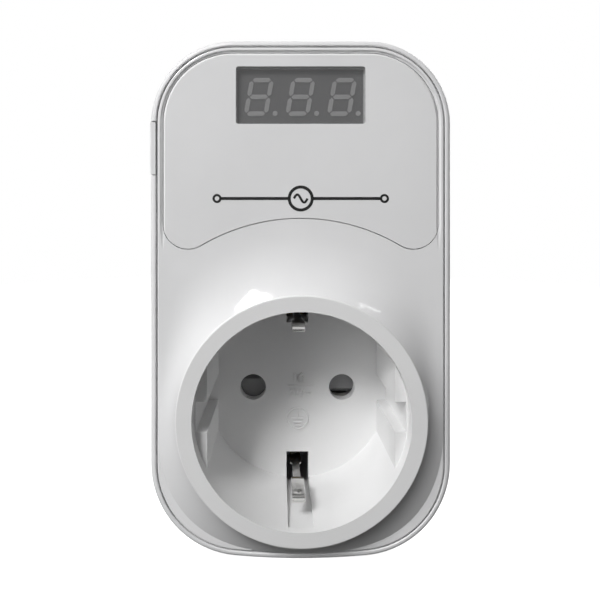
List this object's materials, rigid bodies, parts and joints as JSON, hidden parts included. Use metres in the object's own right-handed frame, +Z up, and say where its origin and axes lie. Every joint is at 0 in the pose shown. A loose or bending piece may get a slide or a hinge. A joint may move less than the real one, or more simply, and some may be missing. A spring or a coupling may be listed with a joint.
{
  "type": "plug-in voltage monitor socket",
  "caption": "Plug-in mains voltage monitor: earthed plug at the back, shuttered round socket with a raised collar and a three-digit display window in a rounded white case.",
  "frame": {"origin": "middle of the plug's face, on the common axis of plug and socket, between the two pins", "axes": "+Z up towards the display, +X to the right seen from the front, +Y backwards along the plug pins; the front faces -Y"},
  "size_m": [0.0553, 0.076, 0.0952],
  "materials": {
    "white_case": "satin",
    "white_gloss": "gloss",
    "white_matte": "matte",
    "panel_matte": "matte",
    "smoked_lens": "smoked",
    "module_grey": "matte",
    "segment_diffuser": "frosted",
    "board_green": "solder mask",
    "tinned": "tinned",
    "steel": "zinc plated",
    "chip_black": "matte",
    "shutter_grey": "matte",
    "spring_steel": "nickel plated",
    "carrier_plastic": "matte",
    "brass": "stamped",
    "nickel": "nickel plated",
    "relay_blue": "satin",
    "copper_winding": "enamelled copper",
    "capacitor_red": "gloss",
    "capacitor_sleeve": "gloss",
    "varistor_blue": "dipped",
    "fuse_glass": "fired",
    "resistor_beige": "lacquered",
    "wire_brown": "insulation",
    "wire_blue": "insulation"
  },
  "bodies": {
    "case": {"rear_housing": "white_case", "front_cover": "white_gloss", "socket_insert": "white_matte", "label_panel": "panel_matte", "display_window": "smoked_lens", "display_module": "module_grey", "display_segments": "segment_diffuser", "display_board": "board_green", "display_screws": "steel", "display_header": "tinned", "controller_chip": "chip_black", "case_screws": "steel", "shutter_spring": "spring_steel", "contact_carrier": "carrier_plastic", "carrier_screws": "steel", "line_contact": "brass", "neutral_contact": "brass", "line_pin": "nickel", "neutral_pin": "nickel", "earth_strip_upper": "nickel", "earth_strip_lower": "nickel", "earth_link": "brass", "tact_switch_body": "chip_black", "main_board": "board_green", "board_screws": "steel", "relay_base": "chip_black", "relay_cover": "relay_blue", "relay_coil": "copper_winding", "relay_yoke": "steel", "relay_fixed_contact": "brass", "film_capacitor": "capacitor_red", "electrolytic_capacitor": "capacitor_sleeve", "varistor": "varistor_blue", "fuse": "fuse_glass", "rectifier": "chip_black", "board_resistors": "resistor_beige", "line_in_wire": "wire_brown", "line_out_wire": "wire_brown", "neutral_wire": "wire_blue"},
    "shutter": {"shutter_rotor": "shutter_grey"},
    "upper_earth_clip": {"earth_clip_upper": "spring_steel"},
    "lower_earth_clip": {"earth_clip_lower": "spring_steel"},
    "button": {"side_button": "white_case"},
    "switch_plunger": {"tact_switch_plunger": "carrier_plastic"},
    "armature": {"relay_armature": "steel"}
  },
  "joints": [
    {"name": "shutter_turn", "type": "hinge", "parent": "case", "child": "shutter", "pos_m": [0, -0.0366, 0], "axis": [0, -1, 0], "range_deg": [0, 32], "stiffness_Nm_per_rad": 0.0006, "springref_deg": -17.19, "deforming": ["shutter_spring"]},
    {"name": "upper_clip_spread", "type": "hinge", "parent": "case", "child": "upper_earth_clip", "pos_m": [0, -0.0276, 0.01687], "axis": [-1, 0, 0], "range_deg": [0, 3], "stiffness_Nm_per_rad": 0.6},
    {"name": "lower_clip_spread", "type": "hinge", "parent": "case", "child": "lower_earth_clip", "pos_m": [0, -0.0276, -0.01687], "axis": [1, 0, 0], "range_deg": [0, 3], "stiffness_Nm_per_rad": 0.6},
    {"name": "button_press", "type": "slide", "parent": "case", "child": "button", "axis": [1, 0, 0], "range_m": [0, 0.0003], "stiffness_N_per_m": 800},
    {"name": "plunger_press", "type": "slide", "parent": "case", "child": "switch_plunger", "axis": [1, 0, 0], "range_m": [0, 0.0003]},
    {"name": "armature_pull", "type": "hinge", "parent": "case", "child": "armature", "pos_m": [0.0156, -0.0379, 0.0421], "axis": [0, 0, -1], "range_deg": [0, 2.6], "stiffness_Nm_per_rad": 0.05}
  ],
  "couplings": [
    {"joint": "plunger_press", "follows": "button_press", "ratio": 1}
  ]
}
